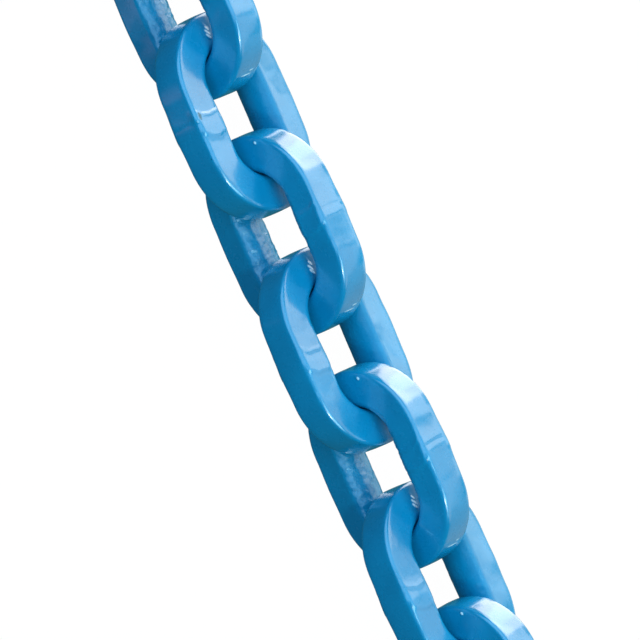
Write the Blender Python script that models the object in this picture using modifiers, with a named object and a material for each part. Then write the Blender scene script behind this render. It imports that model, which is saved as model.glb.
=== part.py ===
"""One metre of alloy steel lifting chain, lying straight on a level floor.

Every link is one closed loop of bar, whose outer side and two faces are flat and whose inner side is
round. The links lean alternately to one side and the other, as a chain lies by itself. The middle link
carries the links on both sides of it. Each of them hangs on the end bow of the link before it, counted
from the middle, and swings about the centre of that bow's round inner side.
"""
import math

import bmesh
import bpy

# Driving dimensions, in metres
PITCH = 0.048               # distance from one link to the next
LINK_COUNT = 21             # a metre of chain
BAR_WIDTH = 0.0154          # the bar across its link's plane
BAR_DEPTH = 0.0157          # the bar from its link's outer side to the crest of the inner side
INNER_WIDTH = 0.0233        # the opening between a link's two legs
OUTER_ROUND = 0.0019        # the edge between a flat face and the flat outer side
INNER_RADIUS = 0.0105       # the round inner side, on which the next link bears
BEARING_GAP = 0.0005        # running clearance where one bow bears on the next
LEAN = math.radians(45.0)   # a link's plane above the floor

# How finely the round stretches are divided
BOW_STEPS = 12
OUTER_ROUND_STEPS = 2
INNER_SIDE_STEPS = 6
MERGE_DISTANCE = 0.00001
SHARP_ANGLE = math.radians(40.0)

# Worked out from the driving dimensions
INNER_LENGTH = PITCH + BEARING_GAP
BOW_CENTRE = (INNER_LENGTH - INNER_WIDTH) / 2       # from the link's middle to the centre of its bow
BAR_LINE_RADIUS = (INNER_WIDTH + BAR_DEPTH) / 2     # from that centre to the middle of the bar
PIVOT_REACH = INNER_LENGTH / 2 + INNER_RADIUS       # from the link's middle to the axis of the next link's swing
MIDDLE_LINK = (LINK_COUNT + 1) // 2
AXIS_HEIGHT = ((INNER_WIDTH / 2 + BAR_DEPTH - OUTER_ROUND) * math.sin(LEAN)
               + (BAR_WIDTH / 2 - OUTER_ROUND) * math.cos(LEAN) + OUTER_ROUND)

COATING_COLOUR = (0.010, 0.250, 0.560, 1.0)
COATING_ROUGHNESS = 0.25


def clear_scene():
    for obj in list(bpy.data.objects):
        bpy.data.objects.remove(obj)


def make_collection(name):
    collection = bpy.data.collections.new(name)
    bpy.context.scene.collection.children.link(collection)
    return collection


def coating_material():
    """The light blue powder coating that covers every link."""
    material = bpy.data.materials.new("blue_coating")
    material.use_nodes = True
    shader = material.node_tree.nodes["Principled BSDF"]
    shader.inputs["Base Color"].default_value = COATING_COLOUR
    shader.inputs["Roughness"].default_value = COATING_ROUGHNESS
    shader.inputs["Metallic"].default_value = 0.0
    material.diffuse_color = COATING_COLOUR
    return material


def arc_points(centre, radius, start, end, steps):
    turns = [start + (end - start) * step / steps for step in range(steps + 1)]
    return [(centre[0] + radius * math.cos(turn), centre[1] + radius * math.sin(turn)) for turn in turns]


def bar_section():
    """The bar's outline: +Y is towards the link's outer side, and Z is across the link's plane."""
    quarter = math.pi / 2
    edge_y = BAR_DEPTH / 2 - OUTER_ROUND
    edge_z = BAR_WIDTH / 2 - OUTER_ROUND
    inner_centre = (INNER_RADIUS - BAR_DEPTH / 2, 0.0)
    half_turn = math.asin(BAR_WIDTH / 2 / INNER_RADIUS)
    return (arc_points((edge_y, edge_z), OUTER_ROUND, 0.0, quarter, OUTER_ROUND_STEPS)
            + arc_points(inner_centre, INNER_RADIUS, math.pi - half_turn, math.pi + half_turn, INNER_SIDE_STEPS)
            + arc_points((edge_y, -edge_z), OUTER_ROUND, -quarter, 0.0, OUTER_ROUND_STEPS))


def vertices_in(geometry):
    return [item for item in geometry if isinstance(item, bmesh.types.BMVert)]


def edges_in(geometry):
    """The edges round the newest section, without those that lead to it along the bar."""
    newest = set(vertices_in(geometry))
    return [item for item in geometry
            if isinstance(item, bmesh.types.BMEdge) and newest.issuperset(item.verts)]


def half_link_mesh(coating):
    """Half a link, open at its middle: a leg drawn out of the section, a bow turned from it, and a leg back."""
    bm = bmesh.new()
    section = [bm.verts.new((0.0, BAR_LINE_RADIUS + y, z)) for y, z in bar_section()]
    outline = [bm.edges.new((section[i - 1], section[i])) for i in range(len(section))]
    leg = bmesh.ops.extrude_edge_only(bm, edges=outline)["geom"]
    bmesh.ops.translate(bm, verts=vertices_in(leg), vec=(BOW_CENTRE, 0.0, 0.0))
    bow = bmesh.ops.spin(bm, geom=vertices_in(leg) + edges_in(leg), cent=(BOW_CENTRE, 0.0, 0.0),
                         axis=(0.0, 0.0, -1.0), angle=math.pi, steps=BOW_STEPS)["geom_last"]
    other_leg = bmesh.ops.extrude_edge_only(bm, edges=edges_in(bow))["geom"]
    bmesh.ops.translate(bm, verts=vertices_in(other_leg), vec=(-BOW_CENTRE, 0.0, 0.0))
    bmesh.ops.recalc_face_normals(bm, faces=bm.faces)
    mesh = bpy.data.meshes.new("half_link")
    bm.to_mesh(mesh)
    bm.free()
    mesh.materials.append(coating)
    mesh.shade_smooth()
    mesh.set_sharp_from_angle(angle=SHARP_ANGLE)
    return mesh


def add_link(number, mesh, collection):
    link = bpy.data.objects.new(f"link_{number:02d}", mesh)
    mirror = link.modifiers.new("other_half", "MIRROR")
    mirror.use_axis = (True, False, False)
    mirror.merge_threshold = MERGE_DISTANCE
    collection.objects.link(link)
    return link


def add_pivot(number, collection):
    """The axis that a link swings about, in the end bow of the link that carries it."""
    pivot = bpy.data.objects.new(f"pivot_{number:02d}", None)
    pivot.empty_display_size = BAR_DEPTH / 2
    collection.objects.link(pivot)
    return pivot


def lean_of(number):
    """Odd links stand higher on their -Y side, and even links on their +Y side."""
    return -LEAN if number % 2 else LEAN


def hang_links(side, middle, mesh, collection):
    """The links on one side of the middle one, from the inside out: side is 1 towards +X, and -1 towards -X."""
    before = middle
    for place in range(1, MIDDLE_LINK):
        number = MIDDLE_LINK + side * place
        pivot = add_pivot(number, collection)
        pivot.parent = before
        pivot.location = (side * PIVOT_REACH, 0.0, 0.0)
        link = add_link(number, mesh, collection)
        link.parent = pivot
        link.location = (side * (PITCH - PIVOT_REACH), 0.0, 0.0)
        link.rotation_euler = (lean_of(number) - lean_of(number - side), 0.0, 0.0)
        before = link


def build_chain():
    clear_scene()
    collection = make_collection("lifting_chain")
    mesh = half_link_mesh(coating_material())
    middle = add_link(MIDDLE_LINK, mesh, collection)
    middle.location = (0.0, 0.0, AXIS_HEIGHT)
    middle.rotation_euler = (lean_of(MIDDLE_LINK), 0.0, 0.0)
    hang_links(-1, middle, mesh, collection)
    hang_links(1, middle, mesh, collection)


build_chain()
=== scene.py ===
"""Looks of one metre of alloy steel lifting chain, powder coated in light blue.

A finer mesh stands for every link of the frame. It keeps the link's section and bends, and adds what the
plain solid lacks: the flats' slight crown, the forged unevenness, the butt weld on the upper leg, the raised
marks and the coating's own relief. The odd links are the even ones turned half round about the vertical.
"""
import math
import random

import bpy
from mathutils import Matrix, Vector, noise


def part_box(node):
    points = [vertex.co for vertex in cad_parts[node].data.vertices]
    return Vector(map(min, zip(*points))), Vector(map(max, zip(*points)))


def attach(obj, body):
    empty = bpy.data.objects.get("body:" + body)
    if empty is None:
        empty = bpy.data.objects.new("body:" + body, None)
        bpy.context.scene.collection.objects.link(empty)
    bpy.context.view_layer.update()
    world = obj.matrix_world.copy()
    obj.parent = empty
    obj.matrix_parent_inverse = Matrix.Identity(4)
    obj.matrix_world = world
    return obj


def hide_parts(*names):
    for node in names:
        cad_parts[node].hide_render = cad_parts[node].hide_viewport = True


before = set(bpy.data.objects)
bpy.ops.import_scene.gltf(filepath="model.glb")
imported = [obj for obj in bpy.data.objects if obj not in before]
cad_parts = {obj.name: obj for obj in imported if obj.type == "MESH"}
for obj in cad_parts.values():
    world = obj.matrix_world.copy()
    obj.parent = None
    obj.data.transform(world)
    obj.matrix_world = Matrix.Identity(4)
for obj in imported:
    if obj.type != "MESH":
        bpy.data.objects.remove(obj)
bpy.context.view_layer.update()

MM = 0.001

# Driving dimensions of a link, the same as the frame's
BAR_WIDTH = 15.4 * MM           # the bar across its link's plane
BAR_DEPTH = 15.7 * MM           # the bar from its link's outer side to the crest of the inner side
INNER_WIDTH = 23.3 * MM         # the opening between the legs
OUTER_ROUND = 1.9 * MM          # the edge between a face and the outer side
INNER_RADIUS = 10.5 * MM        # the round inner side
RIDGE_ROUND = 3.2 * MM          # the softened ridge between a face and the inner side
LEAN = math.radians(45.0)       # a link's plane above the floor

# How finely the outline of the bar is divided, for half of it
OUTER_FLAT_STEPS = 4
OUTER_ROUND_STEPS = 5
FACE_MIDDLE_HALF = 2.6 * MM     # a face has three stretches, and this is half the middle one
RIDGE_STEPS = 5
INNER_SIDE_STEPS = 8

# How finely a link is divided along its bar
WELDED_LEG_STEPS = 60
PLAIN_LEG_STEPS = 40
BOW_STEP = 1.4 * MM
PLAIN_BOW = (20 * BOW_STEP, 0.0, 0)     # a bow without a finer stretch

# Relief of the surface
FLAT_CROWN = 0.10 * MM          # how far the edges of a flat lie below its middle
LEG_CROWN = 0.30 * MM           # how far the outer side lies back where a leg passes into a bow
LEG_CROWN_SPREAD = 9.0 * MM
FORGED_WAVE = 9.0 * MM          # size and depth of the broad unevenness
FORGED_DEPTH = 0.26 * MM
HAMMER_WAVE = 3.2 * MM          # size and depth of the finer unevenness
HAMMER_DEPTH = 0.06 * MM
CREASE_WAVE = 2.8 * MM          # size of the creases of the inner side
INNER_SLOPE_BOW = 1.6           # how steeply the inner side's share grows from the ridge
INNER_SLOPE_LEG = 3.0
SEAT_FILL = 0.22 * MM           # how much fuller the inner side is where the next link bears on it
SEAT_NEST = 0.65 * MM           # how much wider a bow's inner round is than the bar that lies in it
SEAT_ROUND = math.radians(60.0)     # how far round the bow from its tip the fill grows
SEAT_SPREAD = 22.0 * MM
FACE_TAPER = 0.05               # slope of the faces, which fall away from the inner side to the outer one
FACE_RIDGE = -4.0 * MM          # where that slope turns on a bow, from the middle of the bar
FACE_SHARPNESS = 6              # how sharply what lies on the faces ends at their edges
TIP_TAPER = 0.12 * MM           # how much the faces fall away towards the outer edge of a bow's tip
TIP_SPREAD = 16.0 * MM
RUBBED_SPREAD = 12.0 * MM       # the dull stretch of the faces at a bow's tip
SEED_SPREAD = 50.0              # how far the pattern of unevenness is moved for a link, in waves

# The butt weld in the middle of the upper leg: the two ends of the bar meet a little out of line
UPSET_HEIGHT = 0.18 * MM        # swelling of the bar about the weld
UPSET_SPREAD = 6.5 * MM
WELD_REACH = 3 * UPSET_SPREAD   # beyond it nothing of the weld is left
WELD_START = -3.6 * MM          # where the raised end begins and where it drops off again
WELD_END = 5.0 * MM
WELD_RISE = 0.48 * MM
WELD_DROP = 2.2 * MM
WELD_DROP_STEEPNESS = 8.0
WELD_BEADS = (                  # place along the bar, height and half width of each line of the trimmed burr
    (WELD_START, 0.24 * MM, 0.85 * MM),
    (WELD_END, 0.10 * MM, 0.80 * MM),
)
WELD_GROOVE = (-2.6 * MM, 0.10 * MM, 0.80 * MM)     # the same three sizes; half as deep on odd links
WELD_CURVE = 55.0               # how far the lines bow along the bar, in 1/m, from the middle of a face
WELD_WAVE = 3.5 * MM            # how they wander across the bar, how much less along it, and how far
WELD_WAVE_ALONG = 0.2
WELD_WANDER = 0.9 * MM

# Raised marks as (place from the middle of the link, way, half length, half width, height)
ACROSS = Vector((0.0, 0.0, 1.0))
STROKE_WAY = Vector((0.8, 0.6, 0.0))
THREE_STROKES = (               # on the upper face, at the tip of the bow
    (Vector((30.7, 3.4, 7.7)) * MM, STROKE_WAY, 1.5 * MM, 0.58 * MM, 0.40 * MM),
    (Vector((32.3, 3.1, 7.7)) * MM, STROKE_WAY, 1.7 * MM, 0.58 * MM, 0.40 * MM),
    (Vector((33.9, 2.6, 7.7)) * MM, STROKE_WAY, 1.2 * MM, 0.55 * MM, 0.40 * MM),
)
DOT_AND_BURRS = (               # on the lower face, and across the outer side
    (Vector((-35.3, 11.0, 7.7)) * MM, STROKE_WAY, 0.75 * MM, 0.70 * MM, 0.40 * MM),
    (Vector((36.0, 14.1, 0.3)) * MM, ACROSS, 3.4 * MM, 0.48 * MM, 0.32 * MM),
    (Vector((35.0, 15.7, -2.0)) * MM, ACROSS, 1.2 * MM, 0.45 * MM, 0.25 * MM),
)
MARK_WANDER = 0.2 * MM          # how much they differ in place from link to link
MARK_REACH = 3                  # beyond this many half lengths nothing of a mark is left
BLISTER_LINK = 9                # with a lump under the coating beside its weld
BLISTER = (Vector((4.8, 26.9, 6.6)) * MM, Vector((1.0, 0.0, 0.0)), 2.4 * MM, 1.2 * MM, 0.60 * MM)

# What differs between the two kinds of links. Both are divided more finely where their marks are. The face
# steps are those outside, within and inside a face's middle stretch. The fine stretches are one for each bow,
# as (start from where the bow begins, length, steps).
EVEN_LINK = {
    "face_steps": (10, 5, 2),
    "fine_stretches": ((16.5 * MM, 7.0 * MM, 20), (37.6 * MM, 3.9 * MM, 12)),
    "crease_depth": 0.50 * MM,
    "matt_share": 0.5,          # how dull the inner side is
    "weld_share": 0.20,         # how much of the weld's step shows on the outer side
    "chain_way": 1.0,           # the link's own +X is the chain's +X, or the opposite
    "marks": DOT_AND_BURRS,
}
ODD_LINK = {
    "face_steps": (3, 16, 2),
    "fine_stretches": ((25.0 * MM, 5.2 * MM, 16), PLAIN_BOW),
    "crease_depth": 0.12 * MM,
    "matt_share": 1.0,
    "weld_share": 0.10,
    "chain_way": -1.0,
    "marks": THREE_STROKES,
}

# Colours of the coating and of what lies bare or shows through, with painted pit shade in the chip and
# painted highlights on the marks' crests
DEEP_BLUE = (0.0008, 0.203, 0.388, 1.0)
LIGHT_BLUE = (0.0015, 0.246, 0.457, 1.0)
SPECK_COLOUR = (0.004, 0.030, 0.055, 1.0)
SCRATCH_COLOUR = (0.050, 0.330, 0.560, 1.0)
# The chip's colour is its bared undercoat, darkened further as painted shade of the pit it lies in
CHIP_AND_PIT_SHADE_COLOUR = (0.055, 0.140, 0.185, 1.0)
# Painted highlight: the near-white put on the crests of the raised marks, where glints would shine
PAINTED_GLINT_COLOUR = (0.78, 0.88, 0.93, 1.0)

# The coating's own relief, its specks, and how its spots and the painted highlights on the marks' crests end
PEEL_DEPTH = 0.03 * MM          # the faint orange peel all over
PEEL_STRENGTH = 0.35
WRINKLE_DEPTH = 0.5 * MM        # the wrinkles, at their strongest where the inner side is creased most
WRINKLE_STRENGTH = 0.8
SPECK_SCALE = 90.0             # cells in a metre, with a speck in the middle of each
SPECK_RADIUS = 0.26 * MM
SPECK_EDGE = 0.3                # the soft edge of a speck, as a part of its radius
SPOT_EDGE = (1.7, 1.3)          # where a chip or scratch ends and is whole, in half extents plus noise
PAINTED_GLINT_EDGE = (0.40, 0.72)        # where the painted highlight on a mark's crest begins and is whole

# Places of their own in the coating as (link, place in it, way in the frame, half its extents)
# The chip is a dark spot of painted pit shade as well as bare coating
CHIP_AND_PIT_SHADE = (BLISTER_LINK, Vector((4.4, 25.1, 7.7)) * MM, Vector((1.0, 0.0, 0.0)), Vector((1.5, 0.65, 0.65)) * MM)
SCRATCH = (12, Vector((28.5, 13.2, 7.7)) * MM, Vector((0.71, 0.5, 0.5)), Vector((2.4, 0.22, 0.6)) * MM)

# Worked out from the driving dimensions and the frame
INNER_LENGTH = (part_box("link_11")[1].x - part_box("link_11")[0].x) - 2 * BAR_DEPTH
BOW_CENTRE = (INNER_LENGTH - INNER_WIDTH) / 2
BAR_LINE_RADIUS = (INNER_WIDTH + BAR_DEPTH) / 2
BOW_LENGTH = math.pi * BAR_LINE_RADIUS
LEG_LENGTH = 2 * BOW_CENTRE
LOOP_LENGTH = 2 * (BOW_LENGTH + LEG_LENGTH)
HALF_LOOP = LOOP_LENGTH / 2
FACE_MIDDLE = BAR_DEPTH / 2 - OUTER_ROUND - (BAR_DEPTH - OUTER_ROUND) / 3

# The picture's frame on the chain
LINK_11_PIXEL = (336.7, 349.6)  # where the middle of link_11 shows
PIXELS_PER_METRE = 2663.0
PICTURE_SIDE = 640
CHAIN_TURN = math.radians(23.74)    # from straight down the picture to the chain's +X, towards the right
VIEW_TILT_BACK = math.radians(1.97)     # the camera stands this far towards -Y
VIEW_TILT_LEFT = math.radians(0.72)     # and this far towards -X
CAMERA_DISTANCE = 2.4
SENSOR_WIDTH = 36.0

FLOOR_HALF_SIDE = 4.0
FLOOR_OPACITY = 0.02
WHITE = (1.0, 1.0, 1.0)


def smooth_bump(value, half_width):
    """1 at 0, and falling away at once."""
    return math.exp(-(value / half_width) ** 2)


def plateau(value, half_width):
    """1 about 0, and falling away near the half width."""
    return math.exp(-(value / half_width) ** 4)


def flat_points(start, end, angle, steps):
    """Points of a flat stretch of the bar's outline and the direction they face; the last is left out."""
    return [(start[0] + (end[0] - start[0]) * step / steps,
             start[1] + (end[1] - start[1]) * step / steps, angle) for step in range(steps)]


def arc_points(centre, radius, start, end, steps):
    """Points of a round stretch, each with the direction it faces; the last is left out."""
    turns = [start + (end - start) * step / steps for step in range(steps)]
    return [(centre[0] + radius * math.cos(turn), centre[1] + radius * math.sin(turn), turn)
            for turn in turns]


def bar_outline(face_steps):
    """The bar's outline as (y, z, facing): +y is towards the link's outer side, z is across its plane."""
    quarter = math.pi / 2
    edge_y = BAR_DEPTH / 2 - OUTER_ROUND
    edge_z = BAR_WIDTH / 2 - OUTER_ROUND
    inner_y = INNER_RADIUS - BAR_DEPTH / 2
    ridge_z = BAR_WIDTH / 2 - RIDGE_ROUND
    ridge_y = inner_y - math.sqrt((INNER_RADIUS - RIDGE_ROUND) ** 2 - ridge_z ** 2)
    ridge_turn = math.atan2(ridge_z, ridge_y - inner_y)
    half = flat_points((BAR_DEPTH / 2, 0.0), (BAR_DEPTH / 2, edge_z), 0.0, OUTER_FLAT_STEPS)
    half += arc_points((edge_y, edge_z), OUTER_ROUND, 0.0, quarter, OUTER_ROUND_STEPS)
    face_marks = (edge_y, FACE_MIDDLE_HALF, -FACE_MIDDLE_HALF, ridge_y)
    for start, end, steps in zip(face_marks, face_marks[1:], face_steps):
        half += flat_points((start, BAR_WIDTH / 2), (end, BAR_WIDTH / 2), quarter, steps)
    half += arc_points((ridge_y, ridge_z), RIDGE_ROUND, quarter, ridge_turn, RIDGE_STEPS)
    half += arc_points((inner_y, 0.0), INNER_RADIUS, ridge_turn, math.pi, INNER_SIDE_STEPS)
    crest = (-BAR_DEPTH / 2, 0.0, math.pi)
    other_half = [(y, -z, -facing) for y, z, facing in reversed(half[1:])]
    return half + [crest] + other_half


def bow_stretches(fine_start, fine_length, fine_steps):
    """The stretches of a bow before, within and after its finer one, each as (length, steps)."""
    rest = BOW_LENGTH - fine_start - fine_length
    return [(fine_start, round(fine_start / BOW_STEP)), (fine_length, fine_steps),
            (rest, round(rest / BOW_STEP))]


def loop_stations(fine_stretches):
    """Distances along the bar line, from the middle of the welded leg all the way round."""
    half_leg = (LEG_LENGTH / 2, WELDED_LEG_STEPS // 2)
    first_bow, second_bow = [bow_stretches(*fine) for fine in fine_stretches]
    stations = []
    start = 0.0
    for length, steps in (half_leg, *first_bow, (LEG_LENGTH, PLAIN_LEG_STEPS), *second_bow, half_leg):
        stations += [start + length * step / steps for step in range(steps)]
        start += length
    return stations


def from_weld(distance):
    """Distance along the bar from the weld, negative towards the link's own -X."""
    return distance if distance <= HALF_LOOP else distance - LOOP_LENGTH


def from_tip(distance):
    """Distance along the bar from the nearer bow's tip."""
    return abs(distance % HALF_LOOP - HALF_LOOP / 2)


def bar_line(distance):
    """Place on the bar line and direction towards the link's outer side, both in the link's plane."""
    leg_end = LEG_LENGTH / 2
    if abs(from_weld(distance)) <= leg_end:
        return Vector((from_weld(distance), BAR_LINE_RADIUS, 0.0)), Vector((0.0, 1.0, 0.0))
    if distance < leg_end + BOW_LENGTH:
        turn = (distance - leg_end) / BAR_LINE_RADIUS
        outward = Vector((math.sin(turn), math.cos(turn), 0.0))
        return Vector((BOW_CENTRE, 0.0, 0.0)) + BAR_LINE_RADIUS * outward, outward
    if distance <= leg_end + BOW_LENGTH + LEG_LENGTH:
        along = BOW_CENTRE - (distance - leg_end - BOW_LENGTH)
        return Vector((along, -BAR_LINE_RADIUS, 0.0)), Vector((0.0, -1.0, 0.0))
    turn = (distance - 3 * leg_end - BOW_LENGTH) / BAR_LINE_RADIUS
    outward = Vector((-math.sin(turn), -math.cos(turn), 0.0))
    return Vector((-BOW_CENTRE, 0.0, 0.0)) + BAR_LINE_RADIUS * outward, outward


def bow_share(distance):
    """How far a point belongs to the middle of a bow, where the next link bears."""
    return plateau(from_tip(distance), SEAT_SPREAD)


def face_share(facing):
    """How far a point belongs to the two faces."""
    return abs(math.sin(facing)) ** FACE_SHARPNESS


def inner_share(facing, slope=INNER_SLOPE_BOW):
    """How far a point belongs to the round inner side of the bar."""
    return min(1.0, max(0.0, -slope * math.cos(facing)))


def crease_share(distance, facing):
    """The creases of the inner side begin nearer to the ridge on a leg than on a bow."""
    slope = INNER_SLOPE_LEG - (INNER_SLOPE_LEG - INNER_SLOPE_BOW) * bow_share(distance)
    return inner_share(facing, slope)


def rubbed_share(distance, facing):
    """How far a point belongs to the faces at a bow's tip, which the next link rubs dull."""
    return face_share(facing) * plateau(from_tip(distance), RUBBED_SPREAD)


def seat_fill(distance):
    """Away from the tip the bow's wider round is filled, so that the bar in it fits closely all round."""
    turn = min(SEAT_ROUND, from_tip(distance) / BAR_LINE_RADIUS)
    return SEAT_FILL + SEAT_NEST * (1.0 - math.cos(turn))


def flat_crown(y, z, facing):
    """The faces and the outer side are a little higher in their middle."""
    across = z / (BAR_WIDTH / 2) if abs(facing) < math.pi / 4 else (y - FACE_MIDDLE) / (BAR_DEPTH / 2)
    return -FLAT_CROWN * min(1.0, across * across) * max(0.0, 1.0 + math.cos(facing))


def leg_crown(distance, y):
    """The outer side eases from each leg into each bow."""
    from_leg_middle = abs((distance + HALF_LOOP / 2) % HALF_LOOP - HALF_LOOP / 2)
    outer_share = 0.5 + y / BAR_DEPTH
    return -LEG_CROWN * outer_share * smooth_bump(from_leg_middle - LEG_LENGTH / 2, LEG_CROWN_SPREAD)


def tip_taper(distance, y, facing):
    """At a bow's tip the faces fall away towards their outer edge."""
    outer_share = max(0.0, 0.5 + y / BAR_DEPTH)
    return -TIP_TAPER * smooth_bump(from_tip(distance), TIP_SPREAD) * outer_share ** 2 * abs(math.sin(facing))


def face_taper(distance, y, facing):
    """The faces slope about their middle on a leg, and about the inner ridge where the next link bears."""
    turn_y = FACE_MIDDLE - (FACE_MIDDLE - FACE_RIDGE) * bow_share(distance)
    return -FACE_TAPER * (y - turn_y) * math.sin(facing) ** 2


def unevenness(place, crease_depth, seed_shift):
    """Height of the forged unevenness and of the creases, in a pattern of the link's own."""
    broad = noise.noise(place / FORGED_WAVE + seed_shift)
    fine = noise.noise(place / HAMMER_WAVE - seed_shift)
    crease = abs(noise.noise(place / CREASE_WAVE + 2.0 * seed_shift))
    return FORGED_DEPTH * broad / 2 + HAMMER_DEPTH * fine / 2 - crease_depth * crease


def marks_relief(place, marks):
    """Height of the marks at a place, and how far it lies on a crest, where a highlight is painted on the
    coating.
    """
    height = 0.0
    crest = 0.0
    for middle, way, half_length, half_width, rise in marks:
        offset = place - middle
        if offset.length < MARK_REACH * half_length:
            along = offset.dot(way)
            across = (offset - along * way).length
            share = plateau(along, half_length) * smooth_bump(across, half_width)
            height += rise * share
            crest = max(crest, share)
    return height, crest


def weld_relief(along, y, z, facing, outer_share, seed_shift):
    """Height of the weld's swelling, step, burr lines and groove."""
    if abs(along) > WELD_REACH:
        return 0.0
    wander = WELD_WANDER * noise.noise(Vector((y, z, along * WELD_WAVE_ALONG)) / WELD_WAVE + seed_shift)
    place = along - wander + WELD_CURVE * y * y
    on_face = face_share(facing)
    on_outer = max(0.0, math.cos(facing)) ** 2
    height = UPSET_HEIGHT * smooth_bump(along, UPSET_SPREAD)
    rise = min(1.0, max(0.0, (place - WELD_START) / (WELD_END - WELD_START)))
    drop = 1.0 / (1.0 + math.exp(WELD_DROP_STEEPNESS * (place - WELD_END) / WELD_DROP))
    height += WELD_RISE * rise * drop * (on_face + outer_share * on_outer)
    for bead_place, bead_height, half_width in WELD_BEADS:
        height += bead_height * on_face * smooth_bump(place - bead_place, half_width)
    groove_place, depth, half_width = WELD_GROOVE
    groove = smooth_bump(along - wander - groove_place, half_width)
    return height - depth * outer_share / EVEN_LINK["weld_share"] * on_outer * groove


def wandered(mark):
    """A mark a little out of place."""
    place, *size = mark
    wander = [random.uniform(-MARK_WANDER, MARK_WANDER) for _ in range(2)]
    return place + Vector((*wander, 0.0)), *size


class LinkSurface:
    """The surface of one link, in the link's own coordinates."""

    def __init__(self, number):
        self.kind = ODD_LINK if number % 2 else EVEN_LINK
        self.seed_shift = Vector([random.uniform(-SEED_SPREAD, SEED_SPREAD) for _ in range(3)])
        self.marks = [wandered(mark) for mark in self.kind["marks"]]
        self.lumps = [BLISTER] if number == BLISTER_LINK else []

    def point(self, distance, y, z, facing):
        """A point of the surface, with how creased and matt it is there and how much painted highlight it
        takes.
        """
        kind = self.kind
        middle, outward = bar_line(distance)
        place = middle + outward * y + Vector((0.0, 0.0, z))
        seat = bow_share(distance) * inner_share(facing)
        creased = crease_share(distance, facing)
        # How far the point lies on a mark's crest, which takes a painted highlight
        mark_height, painted_glint = marks_relief(place, self.marks)
        height = seat_fill(distance) * seat + mark_height + marks_relief(place, self.lumps)[0]
        height += (1.0 - seat) * unevenness(place, kind["crease_depth"] * creased, self.seed_shift)
        along = kind["chain_way"] * from_weld(distance)
        height += weld_relief(along, y, z, facing, kind["weld_share"], self.seed_shift)
        height += flat_crown(y, z, facing) + leg_crown(distance, y)
        height += tip_taper(distance, y, facing) + face_taper(distance, y, facing)
        outwards = outward * math.cos(facing) + Vector((0.0, 0.0, math.sin(facing)))
        rough = creased * (1.0 - seat) * kind["crease_depth"] / EVEN_LINK["crease_depth"]
        matt = max(kind["matt_share"] * inner_share(facing), rubbed_share(distance, facing))
        return place + outwards * height, rough, painted_glint, matt


def link_mesh(name, number):
    """A link's closed surface: the bar's outline at every station, each joined to the next."""
    surface = LinkSurface(number)
    outline = bar_outline(surface.kind["face_steps"])
    stations = loop_stations(surface.kind["fine_stretches"])
    points = [surface.point(distance, *corner) for distance in stations for corner in outline]
    vertices, rough_shares, painted_glint_shares, matt_shares = [list(values) for values in zip(*points)]
    around = len(outline)
    count = len(vertices)
    faces = []
    for start in range(0, count, around):
        following = (start + around) % count
        for i in range(around):
            j = (i + 1) % around
            faces.append((start + i, start + j, following + j, following + i))
    mesh = bpy.data.meshes.new(name)
    mesh.from_pydata(vertices, [], faces)
    # Besides roughness and dullness, one share says where a highlight is painted
    for share_name, shares in (("rough_share", rough_shares), ("painted_glint_share", painted_glint_shares),
                               ("matt_share", matt_shares)):
        mesh.attributes.new(share_name, "FLOAT", "POINT").data.foreach_set("value", shares)
    mesh.shade_smooth()
    return mesh


def link_matrix(number):
    """The even links stand higher on +Y; the odd ones are turned half round."""
    low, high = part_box(f"link_{number:02d}")
    half_round = Matrix.Rotation(math.pi if number % 2 else 0.0, 4, "Z")
    return Matrix.Translation((low + high) / 2) @ half_round @ Matrix.Rotation(LEAN, 4, "X")


def add_link(number, coating):
    name = f"link_{number:02d}"
    mesh = link_mesh(f"{name}_coated", number)
    mesh.transform(link_matrix(number))
    mesh.materials.append(coating)
    link = bpy.data.objects.new(f"{name}_coated", mesh)
    bpy.context.scene.collection.objects.link(link)
    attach(link, name)
    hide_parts(name)


class Nodes:
    """Short ways to add and join a material's nodes."""

    def __init__(self, material):
        material.use_nodes = True
        self.tree = material.node_tree
        self.shader = self.tree.nodes["Principled BSDF"]

    def add(self, kind, **settings):
        """A new node; a setting is one of its own, or a value for the input of that name."""
        node = self.tree.nodes.new(kind)
        for key, value in settings.items():
            if hasattr(node, key):
                setattr(node, key, value)
            else:
                node.inputs[key.replace("_", " ")].default_value = value
        return node

    def join(self, output, target):
        self.tree.links.new(output, target)

    def shade(self, **settings):
        """Values for the shader's own inputs."""
        for key, value in settings.items():
            self.shader.inputs[key.replace("_", " ")].default_value = value


def fade(nodes, value, start, end):
    """0 where the value is below start, 1 above end; or the other way round where end is the smaller."""
    step = nodes.add("ShaderNodeMapRange", From_Min=start, From_Max=end)
    nodes.join(value, step.inputs["Value"])
    return step.outputs["Result"]


def noise_of(nodes, place, scale, detail, roughness):
    texture = nodes.add("ShaderNodeTexNoise", Scale=scale, Detail=detail, Roughness=roughness)
    nodes.join(place, texture.inputs["Vector"])
    return texture.outputs["Fac"]


def speck_mask(nodes, place):
    cells = nodes.add("ShaderNodeTexVoronoi", Scale=SPECK_SCALE)
    nodes.join(place, cells.inputs["Vector"])
    radius = SPECK_RADIUS * SPECK_SCALE
    return fade(nodes, cells.outputs["Distance"], (1 + SPECK_EDGE) * radius, (1 - SPECK_EDGE) * radius)


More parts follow.
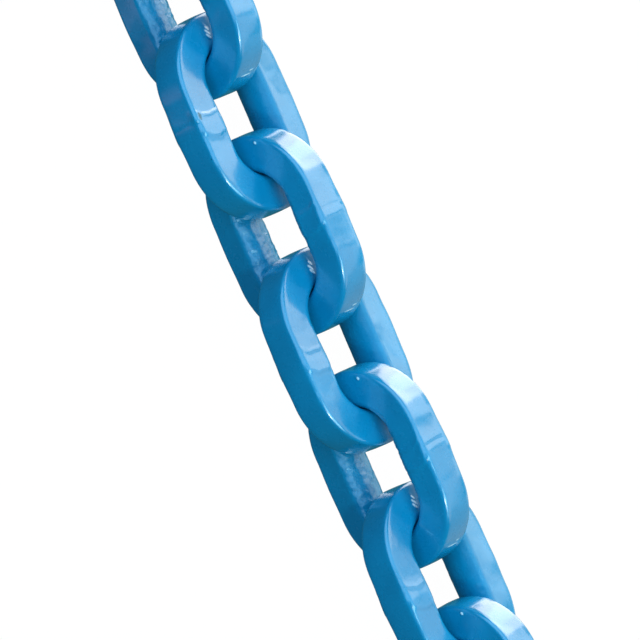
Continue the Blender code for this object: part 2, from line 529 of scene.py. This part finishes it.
def spot_mask(nodes, place, spot):
    """1 in an uneven oval about one place of one link."""
    link_number, spot_place, way, half_extents = spot
    share = nodes.add("ShaderNodeMapping", vector_type="TEXTURE")
    share.inputs["Location"].default_value = link_matrix(link_number) @ spot_place
    share.inputs["Rotation"].default_value = way.to_track_quat("X", "Z").to_euler()
    share.inputs["Scale"].default_value = half_extents
    nodes.join(place, share.inputs["Vector"])
    length = nodes.add("ShaderNodeVectorMath", operation="LENGTH")
    nodes.join(share.outputs["Vector"], length.inputs[0])
    edge = nodes.add("ShaderNodeMath", operation="ADD")
    nodes.join(length.outputs["Value"], edge.inputs[0])
    nodes.join(noise_of(nodes, place, scale=1500.0, detail=2.0, roughness=0.5), edge.inputs[1])
    return fade(nodes, edge.outputs["Value"], *SPOT_EDGE)


def mixed_colour(nodes, mask, below, above):
    """One colour over another; the lower is a socket, and the upper is plain."""
    mix = nodes.add("ShaderNodeMix", data_type="RGBA")
    nodes.join(mask, mix.inputs["Factor"])
    nodes.join(below, mix.inputs["A"])
    mix.inputs["B"].default_value = above
    return mix.outputs["Result"]


def coating_colour(nodes, place, chip_and_pit_shade, painted_glint):
    """Blue that changes a little in tone, with specks, a scratch, a chip darkened with painted pit shade, and
    painted highlights on the marks' crests.
    """
    tone = nodes.add("ShaderNodeValToRGB")
    first, last = tone.color_ramp.elements
    first.position = 0.30
    first.color = DEEP_BLUE
    last.position = 0.72
    last.color = LIGHT_BLUE
    nodes.join(noise_of(nodes, place, scale=70.0, detail=3.0, roughness=0.55), tone.inputs["Fac"])
    colour = mixed_colour(nodes, speck_mask(nodes, place), tone.outputs["Color"], SPECK_COLOUR)
    colour = mixed_colour(nodes, spot_mask(nodes, place, SCRATCH), colour, SCRATCH_COLOUR)
    # The chip: bare coating, its dark colour partly painted shade of a pit
    colour = mixed_colour(nodes, chip_and_pit_shade, colour, CHIP_AND_PIT_SHADE_COLOUR)
    # Painted highlight: the marks' crests are coloured near-white, as if lit
    return mixed_colour(nodes, fade(nodes, painted_glint, *PAINTED_GLINT_EDGE), colour, PAINTED_GLINT_COLOUR)


def coating_roughness(nodes, place):
    roughness = nodes.add("ShaderNodeMapRange", From_Min=0.30, From_Max=0.75, To_Min=0.20, To_Max=0.36)
    nodes.join(noise_of(nodes, place, scale=160.0, detail=4.0, roughness=0.6), roughness.inputs["Value"])
    return roughness.outputs["Result"]


def gloss_share(nodes, chip_and_pit_shade, matt):
    """The clear, glossy top of the coating, which is missing on the chip and rubbed off where it is matt."""
    bare = nodes.add("ShaderNodeMath", operation="MAXIMUM")
    nodes.join(chip_and_pit_shade, bare.inputs[0])
    nodes.join(matt, bare.inputs[1])
    coated = nodes.add("ShaderNodeMath", operation="SUBTRACT")
    coated.inputs[0].default_value = 1.0
    nodes.join(bare.outputs["Value"], coated.inputs[1])
    return coated.outputs["Value"]


def coating_relief(nodes, place, rough):
    """A faint orange peel all over, and wrinkles on the creased inner side."""
    peel = nodes.add("ShaderNodeBump", Strength=PEEL_STRENGTH, Distance=PEEL_DEPTH)
    nodes.join(noise_of(nodes, place, scale=700.0, detail=2.0, roughness=0.5), peel.inputs["Height"])
    wrinkles = nodes.add("ShaderNodeBump", Distance=WRINKLE_DEPTH)
    wrinkled = nodes.add("ShaderNodeMath", operation="MULTIPLY")
    wrinkled.inputs[1].default_value = WRINKLE_STRENGTH
    nodes.join(rough, wrinkled.inputs[0])
    nodes.join(wrinkled.outputs["Value"], wrinkles.inputs["Strength"])
    nodes.join(noise_of(nodes, place, scale=420.0, detail=4.0, roughness=0.6), wrinkles.inputs["Height"])
    nodes.join(peel.outputs["Normal"], wrinkles.inputs["Normal"])
    return wrinkles.outputs["Normal"]


def blue_coating():
    """A thick light blue powder coating with a clear gloss."""
    material = bpy.data.materials.new("blue_coating_glossy")
    nodes = Nodes(material)
    place = nodes.add("ShaderNodeTexCoord").outputs["Object"]
    # One of these shares says where a highlight is painted on the marks' crests
    rough, painted_glint, matt = [nodes.add("ShaderNodeAttribute", attribute_name=name).outputs["Fac"]
                         for name in ("rough_share", "painted_glint_share", "matt_share")]
    # The chip's mask carries painted pit shade into the colour, and takes away the gloss
    chip_and_pit_shade = spot_mask(nodes, place, CHIP_AND_PIT_SHADE)
    inputs = nodes.shader.inputs
    nodes.join(coating_colour(nodes, place, chip_and_pit_shade, painted_glint), inputs["Base Color"])
    nodes.join(coating_roughness(nodes, place), inputs["Roughness"])
    nodes.join(gloss_share(nodes, chip_and_pit_shade, matt), inputs["Coat Weight"])
    nodes.join(coating_relief(nodes, place, rough), inputs["Normal"])
    nodes.shade(Coat_Roughness=0.14, Coat_IOR=1.7)
    return material


def add_area_light(name, direction, distance, width, height, radiance, colour=WHITE,
                   centre=(0.0, 0.0, 0.0), spread=math.pi):
    """A soft panel that faces the chain's middle or another centre; its power follows from its radiance."""
    data = bpy.data.lights.new(name, "AREA")
    data.shape = "RECTANGLE"
    data.size = width
    data.size_y = height
    data.color = colour
    data.energy = radiance * math.pi * width * height
    data.spread = spread
    light = bpy.data.objects.new(name, data)
    towards = Vector(direction).normalized()
    light.location = Vector(centre) + towards * distance
    light.rotation_euler = towards.to_track_quat("Z", "Y").to_euler()
    light.visible_camera = False
    bpy.context.scene.collection.objects.link(light)


def add_lights():
    """A small bright key, and softer panels above, beside and below the chain, which its coating mirrors."""
    sky = (0.48, 0.90, 1.0)
    # Each with its direction from the middle, distance, width, height, radiance and, unless white, its colour
    add_area_light("key_panel", (0.45, 0.05, 0.89), 2.6, 0.30, 0.30, 38.0)
    add_area_light("key_glow", (0.45, 0.38, 0.80), 2.4, 1.4, 1.4, 5.0, sky)
    add_area_light("violet_panel", (0.0, -1.0, 0.02), 0.5, 0.14, 0.20, 0.020, (1.0, 0.55, 0.75),
                   centre=(-0.225, 0.0, 0.02), spread=math.radians(40.0))
    add_area_light("right_panel", (0.45, 0.88, 0.165), 2.2, 1.9, 1.3, 0.95, (1.0, 0.93, 0.84))
    add_area_light("left_panel", (-0.39, 0.90, 0.165), 2.2, 2.0, 1.3, 2.2, (0.97, 0.96, 0.88))
    add_area_light("bright_band", (0.02, 1.0, -0.20), 2.2, 0.5, 0.40, 1.9, (0.90, 1.0, 1.0))
    add_area_light("slope_panel", (0.0, 0.75, 0.66), 2.0, 1.2, 1.1, 1.2, (0.6, 0.85, 1.0))
    add_area_light("window_panel", (-0.55, 0.72, -0.38), 1.8, 0.5, 1.7, 1.4, (0.55, 0.85, 1.0))
    add_area_light("window_glow", (-0.52, 0.74, -0.35), 1.9, 1.3, 2.2, 3.4, (1.0, 0.90, 0.86))
    add_area_light("low_panel", (0.62, 0.60, -0.50), 2.0, 1.6, 1.6, 0.35)
    add_area_light("under_panel", (0.05, 0.82, -0.57), 2.0, 1.6, 1.0, 1.0, (0.80, 0.95, 1.0))
    add_area_light("top_panel", (-0.45, 0.0, 0.89), 2.0, 2.4, 2.4, 2.3, (0.36, 0.70, 1.0))


def add_world():
    """Dim even light all round; the camera itself sees plain white beyond the floor."""
    world = bpy.data.worlds.new("studio")
    world.use_nodes = True
    bpy.context.scene.world = world
    tree = world.node_tree
    output = tree.nodes["World Output"]
    around = tree.nodes["Background"]
    around.inputs["Color"].default_value = (0.14, 0.80, 1.0, 1.0)
    around.inputs["Strength"].default_value = 0.17
    backdrop = tree.nodes.new("ShaderNodeBackground")
    backdrop.inputs["Color"].default_value = (*WHITE, 1.0)
    path = tree.nodes.new("ShaderNodeLightPath")
    either = tree.nodes.new("ShaderNodeMixShader")
    tree.links.new(path.outputs["Is Camera Ray"], either.inputs["Fac"])
    tree.links.new(around.outputs["Background"], either.inputs[1])
    tree.links.new(backdrop.outputs["Background"], either.inputs[2])
    tree.links.new(either.outputs["Shader"], output.inputs["Surface"])


def add_floor():
    """A plain white floor that throws no light back, nearly clear so that links swung below it show."""
    mesh = bpy.data.meshes.new("floor")
    side = FLOOR_HALF_SIDE
    corners = [(-side, -side, 0.0), (side, -side, 0.0), (side, side, 0.0), (-side, side, 0.0)]
    mesh.from_pydata(corners, [], [(0, 1, 2, 3)])
    material = bpy.data.materials.new("floor_white")
    nodes = Nodes(material)
    nodes.shade(Base_Color=(0.95, 0.95, 0.95, 1.0), Roughness=0.9, Alpha=FLOOR_OPACITY,
                Emission_Color=(*WHITE, 1.0), Emission_Strength=0.55)
    mesh.materials.append(material)
    floor = bpy.data.objects.new("floor", mesh)
    bpy.context.scene.collection.objects.link(floor)
    floor.visible_diffuse = False
    floor.visible_glossy = False
    floor.visible_shadow = False


def add_camera():
    """A long lens, almost straight above, with link_11 where the picture has it."""
    chain_right = math.sin(CHAIN_TURN)      # the chain's +X in the picture
    chain_up = -math.cos(CHAIN_TURN)
    right = Vector((chain_right, -chain_up, 0.0))
    back = Vector((-math.sin(VIEW_TILT_LEFT), -math.sin(VIEW_TILT_BACK), 1.0)).normalized()
    right = (right - right.dot(back) * back).normalized()
    up = back.cross(right)
    low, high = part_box("link_11")
    off_right = (PICTURE_SIDE / 2 - LINK_11_PIXEL[0]) / PIXELS_PER_METRE
    off_up = (LINK_11_PIXEL[1] - PICTURE_SIDE / 2) / PIXELS_PER_METRE
    target = (low + high) / 2 + off_right * right + off_up * up
    turned = Matrix((right, up, back)).transposed().to_4x4()
    data = bpy.data.cameras.new("camera")
    data.sensor_width = SENSOR_WIDTH
    data.lens = SENSOR_WIDTH * CAMERA_DISTANCE * PIXELS_PER_METRE / PICTURE_SIDE
    camera = bpy.data.objects.new("camera", data)
    camera.matrix_world = Matrix.Translation(target + CAMERA_DISTANCE * back) @ turned
    bpy.context.scene.collection.objects.link(camera)
    bpy.context.scene.camera = camera


random.seed(21)
add_camera()
add_world()
add_lights()
add_floor()
bpy.context.scene.view_settings.view_transform = "Standard"
coating = blue_coating()
for link_number in range(1, len(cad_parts) + 1):
    add_link(link_number, coating)
